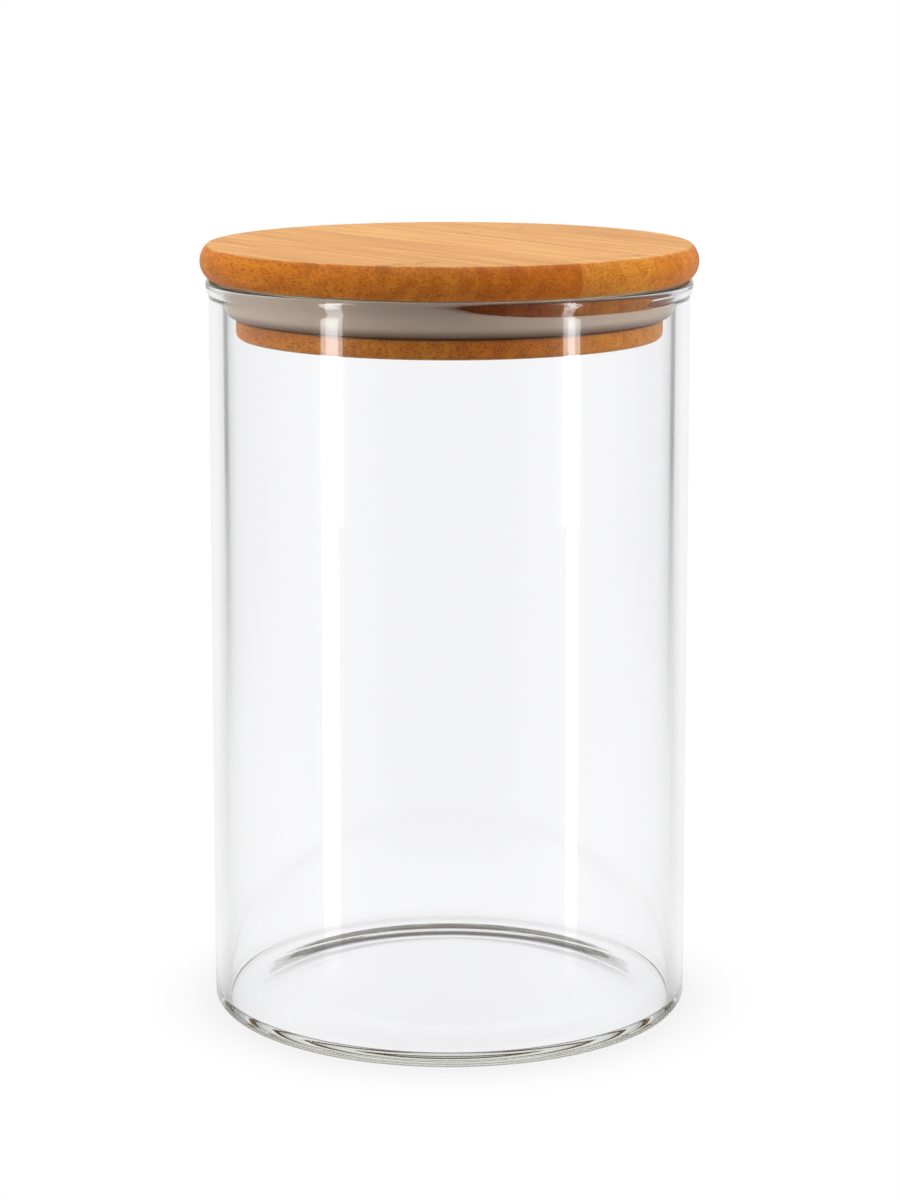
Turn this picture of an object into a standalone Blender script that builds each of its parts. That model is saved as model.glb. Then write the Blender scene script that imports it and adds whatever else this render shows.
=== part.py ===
"""Glass storage jar with a push-in bamboo lid and a silicone lip seal.

Metres, +Z up. The origin is the centre of the ring that the jar stands on.
Every piece is turned about the Z axis, so each one is a profile in (radius, height).
"""

import math

import bpy

mm = 0.001

# Glass jar, made from borosilicate tube
BODY_DIAMETER = 100.0 * mm
GLASS_HEIGHT = 154.0 * mm
WALL = 2.9 * mm
FLOOR_THICKNESS = 2.65 * mm
FLOOR_DIP = 0.22 * mm
FLOOR_CORNER_WIDTH = 1.6 * mm
FLOOR_CORNER_HEIGHT = 0.4 * mm
HEEL_RADIUS = 2.1 * mm
STAND_WIDTH = 2.6 * mm
SWELL_WIDTH = 8.0 * mm
SWELL_RISE = 0.14 * mm
PUSH_UP = 1.12 * mm
RIM_BULGE = 0.7 * mm
RIM_NECK_HEIGHT = 2.2 * mm

# Bamboo lid: a disc that covers the rim, glued to a plug that hangs in the mouth
LID_THICKNESS = 6.8 * mm
LID_OVERHANG = 1.8 * mm
LID_EDGE_INSET = 1.55 * mm
LID_ARRIS_RADIUS = 0.6 * mm
PLUG_DEPTH = 12.2 * mm
PLUG_CLEARANCE = 2.7 * mm
FLANGE_HEIGHT = 4.0 * mm
FLANGE_EDGE_RADIUS = 1.4 * mm
FLANGE_ARRIS_RADIUS = 0.4 * mm
GROOVE_DEPTH = 2.4 * mm
GLUE_LINE = 0.2 * mm

# Silicone seal: a band stretched round the plug's neck, with a lip bent up against the glass
SEAL_BAND_THICKNESS = 1.2 * mm
SEAL_BAND_HEIGHT = 3.4 * mm
SEAL_LIP_THICKNESS = 0.9 * mm
SEAL_WEB = 1.3 * mm
SEAL_FLARE_HEIGHT = 2.9 * mm
SEAL_FOOT_INSET = 0.2 * mm
LIP_TOP_GAP = 0.8 * mm
LIP_DROOP = 2.6 * mm

# Clearances
REST_GAP = 0.3 * mm
SEAL_GAP = 0.3 * mm

# Where the lip sags, in degrees round from the front towards +X
DROOP_CENTRE = 75.0
DROOP_FLAT = 30.0
DROOP_RAMP = 45.0

# Facets and merging
TURN_STEPS = 72
MERGE_DISTANCE = 0.02 * mm

# Sizes that follow from those above
BODY_RADIUS = BODY_DIAMETER / 2
MOUTH_RADIUS = BODY_RADIUS - WALL
RIM_RADIUS = (WALL + RIM_BULGE) / 2
RIM_CENTRE_HEIGHT = GLASS_HEIGHT - RIM_RADIUS
STAND_OUTER_RADIUS = BODY_RADIUS - HEEL_RADIUS
STAND_INNER_RADIUS = STAND_OUTER_RADIUS - STAND_WIDTH
PUSH_UP_RADIUS = STAND_INNER_RADIUS - SWELL_WIDTH
LID_RADIUS = BODY_RADIUS + LID_OVERHANG
LID_SEAT_HEIGHT = GLASS_HEIGHT + REST_GAP
PLUG_RADIUS = MOUTH_RADIUS - PLUG_CLEARANCE
NECK_RADIUS = PLUG_RADIUS - GROOVE_DEPTH
FLANGE_TOP = FLANGE_HEIGHT - PLUG_DEPTH
SEAL_INNER_RADIUS = NECK_RADIUS + SEAL_GAP
SEAL_OUTER_RADIUS = MOUTH_RADIUS - SEAL_GAP
SEAL_FOOT_RADIUS = PLUG_RADIUS - SEAL_FOOT_INSET
SEAL_BOTTOM = LID_SEAT_HEIGHT + FLANGE_TOP + SEAL_GAP
SEAL_HEIGHT = LID_SEAT_HEIGHT - LIP_TOP_GAP - SEAL_BOTTOM


def arc(centre, radius, start, end, steps):
    """Points on an arc in the profile plane, with angles in degrees from +X towards +Z."""
    points = []
    for step in range(steps + 1):
        angle = math.radians(start + (end - start) * step / steps)
        points.append((centre[0] + radius * math.cos(angle), centre[1] + radius * math.sin(angle)))
    return points


def ease(start, end, steps):
    """Points on an S-shaped run down between two points, upright at both ends, without the first."""
    points = []
    for step in range(1, steps + 1):
        share = step / steps
        swing = (1 - math.cos(math.pi * share)) / 2
        points.append((start[0] + (end[0] - start[0]) * swing, start[1] + (end[1] - start[1]) * share))
    return points


def swell(start, end, steps):
    """Points on a gentle S between two points, level at both ends, without the first."""
    points = []
    for step in range(1, steps + 1):
        share = step / steps
        swing = (1 - math.cos(math.pi * share)) / 2
        points.append((start[0] + (end[0] - start[0]) * share, start[1] + (end[1] - start[1]) * swing))
    return points


def fillet(start, end, steps):
    """Points on a quarter of an oval, level at its first point and upright at its last."""
    points = []
    for step in range(steps + 1):
        angle = math.radians(90) * step / steps
        radius = start[0] + (end[0] - start[0]) * math.sin(angle)
        points.append((radius, end[1] - (end[1] - start[1]) * math.cos(angle)))
    return points


def dome(edge_radius, edge_height, rise, steps):
    """Points of a shallow dome, or dish if the rise is negative, from its centre to just before its edge."""
    points = []
    for step in range(steps):
        share = step / steps
        points.append((edge_radius * share, edge_height + rise * (1 - share**2)))
    return points


def material(name, colour, roughness, transmission=0.0, ior=1.45):
    """A Principled BSDF material; the colour is linear RGB."""
    made = bpy.data.materials.new(name)
    made.use_nodes = True
    shader = made.node_tree.nodes["Principled BSDF"]
    shader.inputs["Base Color"].default_value = (*colour, 1.0)
    shader.inputs["Roughness"].default_value = roughness
    shader.inputs["Metallic"].default_value = 0.0
    shader.inputs["Transmission Weight"].default_value = transmission
    shader.inputs["IOR"].default_value = ior
    return made


def place(item, height, collection, parent=None):
    """Puts a piece or an empty on the axis, with its origin at a height above the stand."""
    collection.objects.link(item)
    item.parent = parent
    parent_height = 0.0
    holder = parent
    while holder is not None:
        parent_height += holder.location.z
        holder = holder.parent
    item.location = (0.0, 0.0, height - parent_height)
    return item


def turned(name, profile, finish, closed=False):
    """An object whose profile, given as (radius, height), a Screw modifier turns about Z."""
    mesh = bpy.data.meshes.new(name)
    edges = [(index, index + 1) for index in range(len(profile) - 1)]
    if closed:
        edges.append((len(profile) - 1, 0))
    mesh.from_pydata([(radius, 0.0, height) for radius, height in profile], edges, [])
    mesh.materials.append(finish)
    piece = bpy.data.objects.new(name, mesh)
    screw = piece.modifiers.new("Turn", "SCREW")
    screw.axis = "Z"
    screw.angle = math.tau
    screw.steps = TURN_STEPS
    screw.render_steps = TURN_STEPS
    screw.use_merge_vertices = True
    screw.merge_threshold = MERGE_DISTANCE
    screw.use_smooth_shade = True
    return piece


def glass_profile():
    """From the middle of the floor up the inside, over the rim, and down the outside to the push-up."""
    floor_edge = (MOUTH_RADIUS - FLOOR_CORNER_WIDTH, FLOOR_THICKNESS)
    points = dome(*floor_edge, -FLOOR_DIP, 4)
    points += fillet(floor_edge, (MOUTH_RADIUS, FLOOR_THICKNESS + FLOOR_CORNER_HEIGHT), 5)
    rim_centre = (MOUTH_RADIUS + RIM_RADIUS, RIM_CENTRE_HEIGHT)
    points += arc(rim_centre, RIM_RADIUS, 180, 0, 12)
    bulge = (BODY_RADIUS + RIM_BULGE, RIM_CENTRE_HEIGHT)
    points += ease(bulge, (BODY_RADIUS, RIM_CENTRE_HEIGHT - RIM_NECK_HEIGHT), 5)
    heel = (STAND_OUTER_RADIUS, HEEL_RADIUS)
    points += arc(heel, HEEL_RADIUS, 0, -90, 7)
    points += [(STAND_INNER_RADIUS, 0.0)]
    points += swell((STAND_INNER_RADIUS, 0.0), (PUSH_UP_RADIUS, SWELL_RISE), 4)
    points += reversed(dome(PUSH_UP_RADIUS, SWELL_RISE, PUSH_UP, 4))
    return points


def lid_edge():
    """Upper half of the lid's rounded edge, from the top face to the widest point.

    A large arc is the edge itself, and a small one rounds the arris where it meets the face.
    """
    half = LID_THICKNESS / 2
    edge_radius = (half**2 + LID_EDGE_INSET**2) / (2 * LID_EDGE_INSET)
    edge_centre = LID_RADIUS - edge_radius
    reach = edge_radius - LID_ARRIS_RADIUS
    rise = half - LID_ARRIS_RADIUS
    arris_centre = edge_centre + math.sqrt(reach**2 - rise**2)
    turn = math.degrees(math.asin(rise / reach))
    points = arc((arris_centre, half + rise), LID_ARRIS_RADIUS, 90, turn, 3)
    points += arc((edge_centre, half), edge_radius, turn, 0, 5)[1:]
    return points


def lid_profile():
    """From the middle of the top face over the rounded edge to the middle of the underside."""
    upper = lid_edge()
    lower = [(radius, LID_THICKNESS - height) for radius, height in reversed(upper)]
    return [(0.0, LID_THICKNESS)] + upper + lower[1:] + [(0.0, 0.0)]


def plug_profile():
    """Neck, groove floor and flange, measured down from the lid's underside."""
    top = -GLUE_LINE
    arris = (PLUG_RADIUS - FLANGE_ARRIS_RADIUS, FLANGE_TOP - FLANGE_ARRIS_RADIUS)
    edge = (PLUG_RADIUS - FLANGE_EDGE_RADIUS, FLANGE_EDGE_RADIUS - PLUG_DEPTH)
    points = [(0.0, top), (NECK_RADIUS, top), (NECK_RADIUS, FLANGE_TOP)]
    points += arc(arris, FLANGE_ARRIS_RADIUS, 90, 0, 3)
    points += arc(edge, FLANGE_EDGE_RADIUS, 0, -90, 5)
    points += [(0.0, -PLUG_DEPTH)]
    return points


def seal_profile():
    """Section of the seal, clockwise from the tip of its lip: a V that opens upwards."""
    tip_radius = SEAL_LIP_THICKNESS / 2
    tip = (SEAL_OUTER_RADIUS - tip_radius, SEAL_HEIGHT - tip_radius)
    points = arc(tip, tip_radius, 180, 0, 4)
    # The outer face leaves the glass upright and curls in to the foot on the flange
    reach = SEAL_OUTER_RADIUS - SEAL_FOOT_RADIUS
    flare_radius = (reach**2 + SEAL_FLARE_HEIGHT**2) / (2 * reach)
    turn = math.degrees(math.acos(1 - reach / flare_radius))
    points += arc((SEAL_OUTER_RADIUS - flare_radius, SEAL_FLARE_HEIGHT), flare_radius, 0, -turn, 6)
    # The band stands round the neck, and a round-bottomed hollow parts it from the lip
    band_outer = SEAL_INNER_RADIUS + SEAL_BAND_THICKNESS
    hollow = (SEAL_OUTER_RADIUS - SEAL_LIP_THICKNESS - band_outer) / 2
    points += [(SEAL_INNER_RADIUS, 0.0), (SEAL_INNER_RADIUS, SEAL_BAND_HEIGHT)]
    points += [(band_outer, SEAL_BAND_HEIGHT)]
    points += arc((band_outer + hollow, SEAL_WEB + hollow), hollow, 180, 360, 5)
    return points


def sag_lip(mesh):
    """Lowers part of the lip's free edge, which is drawn down where the mouth is widest round the plug."""
    for vertex in mesh.vertices:
        radius = math.hypot(vertex.co.x, vertex.co.y)
        on_lip = radius > SEAL_OUTER_RADIUS - SEAL_LIP_THICKNESS - MERGE_DISTANCE
        height_share = (vertex.co.z - SEAL_FLARE_HEIGHT) / (SEAL_HEIGHT - SEAL_FLARE_HEIGHT)
        if not on_lip or height_share <= 0:
            continue
        from_front = math.degrees(math.atan2(vertex.co.x, -vertex.co.y))
        past_flat = (abs(from_front - DROOP_CENTRE) - DROOP_FLAT) / DROOP_RAMP
        along_ramp = min(1.0, max(0.0, past_flat))
        droop = LIP_DROOP * (1 + math.cos(math.pi * along_ramp)) / 2
        vertex.co.z -= droop * height_share


def seal_ring(finish):
    """The seal as one mesh: turned first, then with its lip sagged on one side."""
    round_ring = turned("seal_round", seal_profile(), finish, closed=True)
    bpy.context.scene.collection.objects.link(round_ring)
    graph = bpy.context.evaluated_depsgraph_get()
    mesh = bpy.data.meshes.new_from_object(round_ring.evaluated_get(graph))
    mesh.name = "seal_ring"
    bpy.data.objects.remove(round_ring)
    sag_lip(mesh)
    return bpy.data.objects.new("seal_ring", mesh)


def clear_scene():
    for item in list(bpy.data.objects):
        bpy.data.objects.remove(item)


def main():
    clear_scene()
    jar = bpy.data.collections.new("storage_jar")
    bpy.context.scene.collection.children.link(jar)

    glass = material("borosilicate_glass", (0.95, 0.98, 0.97), 0.02, transmission=1.0, ior=1.47)
    bamboo = material("bamboo", (0.58, 0.31, 0.12), 0.45)
    silicone = material("silicone", (0.62, 0.58, 0.54), 0.5, transmission=0.3, ior=1.41)

    place(turned("glass_jar", glass_profile(), glass), 0.0, jar)

    # Lifting the lid takes the seal along, and the lid also turns inside the seal
    lid_lift = place(bpy.data.objects.new("lid_lift", None), GLASS_HEIGHT, jar)
    place(seal_ring(silicone), SEAL_BOTTOM, jar, lid_lift)
    lid_turn = place(bpy.data.objects.new("lid_turn", None), GLASS_HEIGHT, jar, lid_lift)
    place(turned("lid_disc", lid_profile(), bamboo), LID_SEAT_HEIGHT, jar, lid_turn)
    place(turned("lid_plug", plug_profile(), bamboo), LID_SEAT_HEIGHT, jar, lid_turn)


main()
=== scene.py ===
# %% [markdown]
# # A glass storage jar with a bamboo lid
#
# The jar is a length of clear borosilicate tube with a floor fused in. Its lid is two
# turned bamboo boards glued together, and a silicone ring seals the lid in the mouth.
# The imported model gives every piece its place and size. This script gives them their
# fine surface, their finishes, a small studio and a camera.

import math

import bmesh
import bpy
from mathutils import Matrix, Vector, noise


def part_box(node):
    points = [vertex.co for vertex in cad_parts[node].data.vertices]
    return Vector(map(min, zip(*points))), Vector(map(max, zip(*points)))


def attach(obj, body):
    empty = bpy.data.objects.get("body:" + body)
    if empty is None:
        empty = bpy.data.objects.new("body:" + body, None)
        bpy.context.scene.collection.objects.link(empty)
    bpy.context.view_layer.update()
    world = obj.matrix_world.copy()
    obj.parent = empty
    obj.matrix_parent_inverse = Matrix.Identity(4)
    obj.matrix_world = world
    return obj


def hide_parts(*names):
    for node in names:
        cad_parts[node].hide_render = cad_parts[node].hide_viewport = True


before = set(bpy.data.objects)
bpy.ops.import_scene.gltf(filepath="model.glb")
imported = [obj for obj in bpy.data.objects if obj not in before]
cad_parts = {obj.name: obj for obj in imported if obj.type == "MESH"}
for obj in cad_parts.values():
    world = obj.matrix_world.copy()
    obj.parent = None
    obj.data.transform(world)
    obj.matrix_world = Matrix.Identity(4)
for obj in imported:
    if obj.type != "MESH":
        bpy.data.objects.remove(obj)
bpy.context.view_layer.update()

# %% [markdown]
# ## Sizes
#
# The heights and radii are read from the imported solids, so each fine piece lies exactly
# where its solid does. Only what a box can't tell, such as a wall or a fillet, is
# written down where it is first needed, in millimetres of the real object.

# %% Sizes read from the solids
mm = 0.001

glass_low, glass_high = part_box("glass_jar")
disc_low, disc_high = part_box("lid_disc")
plug_low, plug_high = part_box("lid_plug")
seal_low, seal_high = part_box("seal_ring")

RIM_BULGE = 0.7 * mm
GLASS_HEIGHT = glass_high.z
BODY_RADIUS = glass_high.x - RIM_BULGE
LID_RADIUS = disc_high.x
LID_UNDERSIDE = disc_low.z
LID_TOP = disc_high.z
PLUG_RADIUS = plug_high.x
PLUG_BOTTOM = plug_low.z
PLUG_TOP = plug_high.z
SEAL_OUTER_RADIUS = seal_high.x
SEAL_BOTTOM = seal_low.z
SEAL_TOP = seal_high.z
print(f"body {2 * BODY_RADIUS / mm:.1f} mm across, glass {GLASS_HEIGHT / mm:.1f} mm tall")

# %% [markdown]
# ## Turning a profile
#
# Every piece is round, so each one is a half outline turned about the Z axis, as on a
# lathe. `bmesh.ops.spin` does this. Glass shows the smallest kink in a surface, so the
# straight stretches get extra points near their ends: they keep the smooth shading of
# a fillet from leaking into the straight wall beside it.

# %% Points along a profile
def arc(centre, radius, start, end, steps):
    """Points on an arc of a profile, with angles in degrees from outwards to upwards."""
    angles = [math.radians(start + (end - start) * i / steps) for i in range(steps + 1)]
    return [(centre[0] + radius * math.cos(a), centre[1] + radius * math.sin(a)) for a in angles]


def run(start, end, shares):
    """Points on a straight stretch, at the given shares of its length."""
    return [(start[0] + (end[0] - start[0]) * s, start[1] + (end[1] - start[1]) * s) for s in shares]


print("a quarter round in 4 steps:", len(arc((0, 0), 1, 0, 90, 4)), "points")

# %% Turn a profile
TURN_STEPS = 240
MERGE = 0.002 * mm

print(f"lathe: {TURN_STEPS} steps round, {360 / TURN_STEPS} degrees each")


def turn(name, profile, closed=False):
    """Turns a profile of (radius, height) points about Z into a smooth mesh object."""
    work = bmesh.new()
    points = [work.verts.new((radius, 0.0, height)) for radius, height in profile]
    pairs = list(zip(points, points[1:]))
    if closed:
        pairs.append((points[-1], points[0]))
    lines = [work.edges.new(pair) for pair in pairs]
    bmesh.ops.spin(
        work, geom=points + lines, cent=(0, 0, 0), axis=(0, 0, 1), angle=math.tau, steps=TURN_STEPS
    )
    bmesh.ops.remove_doubles(work, verts=work.verts, dist=MERGE)
    bmesh.ops.recalc_face_normals(work, faces=work.faces)
    mesh = bpy.data.meshes.new(name)
    work.to_mesh(mesh)
    work.free()
    mesh.shade_smooth()
    piece = bpy.data.objects.new(name, mesh)
    bpy.context.scene.collection.objects.link(piece)
    print(f"{name}: {len(mesh.polygons)} faces")
    return piece


# %% [markdown]
# ## The glass body
#
# A canister like this starts as drawn tube, so its wall is true and even. The floor is
# melted on, which leaves a rounded heel outside and a small fillet inside. A glass base
# works as a lens: slopes of a few per cent, too slight to see as a shape, draw the fine
# lines that it shows from the side. So the floor is made 0.3 mm higher in its middle
# than at its edge. The underside is given by its slopes, each at a radius in
# millimetres, from the standing ring inwards.

# %% The floor and the underside
WALL = 2.9 * mm
FLOOR_THICKNESS = 2.65 * mm
FLOOR_RISE = 0.3 * mm
FLOOR_CORNER_WIDTH = 1.1 * mm
FLOOR_CORNER_HEIGHT = 0.5 * mm
HEEL_RADIUS = 2.1 * mm
UNDERSIDE_SLOPES = [
    (42.7, 0.0), (41.8, 0.06), (39.3, 0.09), (36.7, 0.078), (34.9, 0.058), (32.6, 0.045),
    (30.5, 0.035), (27.0, 0.0), (0.0, 0.0),
]
UNDERSIDE_STEPS = 24


def dome(edge_radius, edge_height, rise, steps):
    """Points of a shallow dome, from its middle out to its edge."""
    shares = [i / steps for i in range(steps + 1)]
    return [(edge_radius * s, edge_height + rise * (1 - s**2)) for s in shares]


def pushed_up(marks, steps):
    """The underside from the standing ring to its middle, from how steeply it rises at given radii."""
    points = [(marks[0][0] * mm, 0.0)]
    for (outer, first), (inner, last) in zip(marks, marks[1:]):
        for step in range(steps):
            slope = first + (last - first) * (step + 0.5) / steps
            run_in = (outer - inner) * mm / steps
            points.append((points[-1][0] - run_in, points[-1][1] + slope * run_in))
    return points


def fillet(start, end, steps):
    """Points on a quarter of an oval, level at its first point and upright at its last."""
    points = []
    for step in range(steps + 1):
        angle = math.radians(90) * step / steps
        radius = start[0] + (end[0] - start[0]) * math.sin(angle)
        points.append((radius, end[1] - (end[1] - start[1]) * math.cos(angle)))
    return points


underside = pushed_up(UNDERSIDE_SLOPES, UNDERSIDE_STEPS)
print(f"underside: {underside[-1][1] / mm:.2f} mm higher in its middle than at the standing ring")

# %% [markdown]
# The mouth is fire-polished: the flame draws the cut edge into a bead, a little wider
# than the wall. Its top is somewhat squarer than a half round, so it is drawn as an
# oval with a power of 2.8, where a circle has 2. A soft neck leads down to the wall.

# %% The fire-polished rim
RIM_DOME = 1.3 * mm
RIM_SQUARENESS = 2.8
RIM_NECK_HEIGHT = 2.7 * mm
MOUTH_RADIUS = BODY_RADIUS - WALL
RIM_DOME_FOOT = GLASS_HEIGHT - RIM_DOME


def rim_top(steps):
    """Points over the rim, on an oval that is squarer than a circle, from inside to outside."""
    half = (WALL + RIM_BULGE) / 2
    points = []
    for step in range(steps + 1):
        angle = math.pi * (1 - step / steps)
        along = math.copysign(abs(math.cos(angle)) ** (2 / RIM_SQUARENESS), math.cos(angle))
        up = abs(math.sin(angle)) ** (2 / RIM_SQUARENESS)
        points.append((MOUTH_RADIUS + half + half * along, RIM_DOME_FOOT + RIM_DOME * up))
    return points


def rim_neck(steps):
    """Points down the outside, from the bead to the wall, on a soft S."""
    points = []
    for step in range(1, steps + 1):
        share = step / steps
        swing = (1 + math.cos(math.pi * share)) / 2
        points.append((BODY_RADIUS + RIM_BULGE * swing, RIM_DOME_FOOT - RIM_NECK_HEIGHT * share))
    return points


print(f"rim: {(WALL + RIM_BULGE) / mm:.1f} mm thick on a wall of {WALL / mm:.1f} mm")

# %% The glass body's outline
WALL_SHARES = [0.002, 0.01, 0.04, 0.15, 0.5, 0.85, 0.96, 0.99, 0.998]
EDGE_SHARES = [0.1, 0.5, 0.9]
FLOOR_STEPS = 24
CORNER_STEPS = 20
RIM_STEPS = 48
NECK_STEPS = 16
HEEL_STEPS = 20


def glass_outline():
    """Up the inside of the jar from the middle of its floor, and down the outside."""
    floor_edge = (MOUTH_RADIUS - FLOOR_CORNER_WIDTH, FLOOR_THICKNESS)
    wall_foot = (MOUTH_RADIUS, FLOOR_THICKNESS + FLOOR_CORNER_HEIGHT)
    stand = BODY_RADIUS - HEEL_RADIUS
    points = dome(*floor_edge, FLOOR_RISE, FLOOR_STEPS)
    points += fillet(floor_edge, wall_foot, CORNER_STEPS)[1:]
    points += run(wall_foot, (MOUTH_RADIUS, RIM_DOME_FOOT), WALL_SHARES)
    points += rim_top(RIM_STEPS)
    points += rim_neck(NECK_STEPS)
    points += run(points[-1], (BODY_RADIUS, HEEL_RADIUS), WALL_SHARES)
    points += arc((stand, HEEL_RADIUS), HEEL_RADIUS, 0, -90, HEEL_STEPS)
    points += run((stand, 0.0), underside[0], EDGE_SHARES)
    return points + underside


# %% [markdown]
# The glass casts no shadow of its own. The renderer would hold the lamps' light back at
# each of its surfaces, where real glass passes almost all of it on to the lid.

# %% Turn the glass body
glass_body = turn("glass_body", glass_outline())
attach(glass_body, "jar")
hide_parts("glass_jar")
glass_body.visible_shadow = False

# %% [markdown]
# ## The bamboo lid
#
# The lid's disc has a full, rounded edge and a flat top. The plug below it has a neck
# for the seal and a flange that keeps the seal on. Both are turned on a lathe, and the
# sharp edges, the arrises, are broken with sandpaper.

# %% The disc's outline
LID_EDGE_INSET = 1.55 * mm
LID_ARRIS_RADIUS = 0.6 * mm
FACE_SHARES = [0.0, 0.5, 0.9, 0.98, 0.998]
ARRIS_STEPS = 8
EDGE_STEPS = 16


def disc_outline():
    """Over the disc's rounded edge, from the middle of its top to the middle of its underside."""
    half = (LID_TOP - LID_UNDERSIDE) / 2
    edge_radius = (half**2 + LID_EDGE_INSET**2) / (2 * LID_EDGE_INSET)
    centre = LID_RADIUS - edge_radius
    reach = edge_radius - LID_ARRIS_RADIUS
    rise = half - LID_ARRIS_RADIUS
    arris = centre + math.sqrt(reach**2 - rise**2)
    slope = math.degrees(math.asin(rise / reach))
    upper = run((0.0, half), (arris, half), FACE_SHARES)
    upper += arc((arris, rise), LID_ARRIS_RADIUS, 90, slope, ARRIS_STEPS)
    upper += arc((centre, 0.0), edge_radius, slope, 0, EDGE_STEPS)[1:]
    lower = [(radius, -height) for radius, height in reversed(upper)]
    return [(radius, LID_UNDERSIDE + half + height) for radius, height in upper + lower[1:]]


print(f"disc: {2 * LID_RADIUS / mm:.1f} mm across, {(LID_TOP - LID_UNDERSIDE) / mm:.1f} mm thick")

# %% The plug's outline
FLANGE_HEIGHT = 4.0 * mm
FLANGE_EDGE_RADIUS = 1.4 * mm
FLANGE_ARRIS_RADIUS = 0.4 * mm
GROOVE_DEPTH = 2.4 * mm
TOP_SHARES = [0.0, 0.5, 0.99, 1.0]
NECK_SHARES = [0.02, 0.5, 0.98, 1.0]
BOTTOM_SHARES = [0.002, 0.05, 0.5, 1.0]
FLANGE_STEPS = 12


def plug_outline():
    """Down the plug's neck, out along the groove's floor and round the flange."""
    neck = PLUG_RADIUS - GROOVE_DEPTH
    top = PLUG_BOTTOM + FLANGE_HEIGHT
    arris = (PLUG_RADIUS - FLANGE_ARRIS_RADIUS, top - FLANGE_ARRIS_RADIUS)
    edge = (PLUG_RADIUS - FLANGE_EDGE_RADIUS, PLUG_BOTTOM + FLANGE_EDGE_RADIUS)
    points = run((0.0, PLUG_TOP), (neck, PLUG_TOP), TOP_SHARES)
    points += run((neck, PLUG_TOP), (neck, top), NECK_SHARES)
    points += arc(arris, FLANGE_ARRIS_RADIUS, 90, 0, ARRIS_STEPS)
    points += arc(edge, FLANGE_EDGE_RADIUS, 0, -90, FLANGE_STEPS)
    points += run((edge[0], PLUG_BOTTOM), (0.0, PLUG_BOTTOM), BOTTOM_SHARES)
    return points


print(f"plug: {2 * PLUG_RADIUS / mm:.1f} mm across its flange")

# %% Turn the two boards
SHARP_ANGLE = math.radians(40)

lid_board = turn("lid_board", disc_outline())
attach(lid_board, "lid")
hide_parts("lid_disc")
plug_board = turn("plug_board", plug_outline())
plug_board.data.set_sharp_from_angle(angle=SHARP_ANGLE)
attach(plug_board, "lid")
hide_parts("lid_plug")

# %% [markdown]
# ## The silicone seal
#
# The seal is one moulded ring: a band that grips the plug's neck, and a lip that flares
# up and out to the glass. Its section is one closed outline, turned like the others.

# %% The seal's section
SEAL_GAP = 0.3 * mm
SEAL_BAND_THICKNESS = 1.2 * mm
SEAL_BAND_HEIGHT = 3.4 * mm
SEAL_LIP_THICKNESS = 0.9 * mm
SEAL_WEB = 1.3 * mm
SEAL_FLARE_HEIGHT = 2.9 * mm
SEAL_FOOT_INSET = 0.2 * mm
TIP_STEPS = 10
FLARE_STEPS = 14
HOLLOW_STEPS = 12


def seal_outline():
    """The seal's section, clockwise from the tip of its lip."""
    height = SEAL_TOP - SEAL_BOTTOM
    tip = SEAL_LIP_THICKNESS / 2
    points = arc((SEAL_OUTER_RADIUS - tip, height - tip), tip, 180, 0, TIP_STEPS)
    points += run((SEAL_OUTER_RADIUS, height - tip), (SEAL_OUTER_RADIUS, SEAL_FLARE_HEIGHT), EDGE_SHARES)
    reach = SEAL_OUTER_RADIUS - (PLUG_RADIUS - SEAL_FOOT_INSET)
    flare = (reach**2 + SEAL_FLARE_HEIGHT**2) / (2 * reach)
    slope = math.degrees(math.acos(1 - reach / flare))
    points += arc((SEAL_OUTER_RADIUS - flare, SEAL_FLARE_HEIGHT), flare, 0, -slope, FLARE_STEPS)
    inner = PLUG_RADIUS - GROOVE_DEPTH + SEAL_GAP
    band = inner + SEAL_BAND_THICKNESS
    hollow = (SEAL_OUTER_RADIUS - SEAL_LIP_THICKNESS - band) / 2
    points += [(inner, 0.0), (inner, SEAL_BAND_HEIGHT), (band, SEAL_BAND_HEIGHT)]
    points += arc((band + hollow, SEAL_WEB + hollow), hollow, 180, 360, HOLLOW_STEPS)
    return [(radius, SEAL_BOTTOM + above) for radius, above in points]


print(f"seal: {2 * SEAL_OUTER_RADIUS / mm:.1f} mm across its lip")

# %% [markdown]
# A soft lip never sits quite level. On the right this one is drawn down, and bamboo
# shows over its edge, so the turned ring is pulled lower there, vertex by vertex. Slow
# noise adds the slight waves of a stretched edge. The angles are in degrees round the
# jar, from the front towards the right.

# %% How the lip sags
LIP_DROOP = 2.6 * mm
LIP_WAVE = 0.12 * mm
LIP_WAVE_LENGTH = 14 * mm
DROOP_CENTRE = 75.0
DROOP_FLAT = 42.0
DROOP_RAMP = 52.0


def droop_share(place):
    """How far the lip is drawn down at a place: 0 on the left, 1 on the right."""
    from_front = math.degrees(math.atan2(place.x, -place.y))
    along = (abs(from_front - DROOP_CENTRE) - DROOP_FLAT) / DROOP_RAMP
    return (1 + math.cos(math.pi * min(1.0, max(0.0, along)))) / 2


def sag_lip(piece):
    """Draws the lip's free edge down, and gives it its waves."""
    flare_top = SEAL_BOTTOM + SEAL_FLARE_HEIGHT
    lip_inside = SEAL_OUTER_RADIUS - SEAL_LIP_THICKNESS - MERGE
    for vertex in piece.data.vertices:
        place = vertex.co
        share = (place.z - flare_top) / (SEAL_TOP - flare_top)
        if share > 0 and math.hypot(place.x, place.y) > lip_inside:
            wave = noise.noise(Vector((place.x, place.y, 0.0)) / LIP_WAVE_LENGTH) - 1
            place.z += share * (LIP_WAVE * wave - LIP_DROOP * droop_share(place))


print(f"lip: drawn down {LIP_DROOP / mm:.1f} mm on the right")

# %% Turn the seal
seal = turn("seal", seal_outline(), closed=True)
sag_lip(seal)
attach(seal, "seal")
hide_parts("seal_ring")

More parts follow.
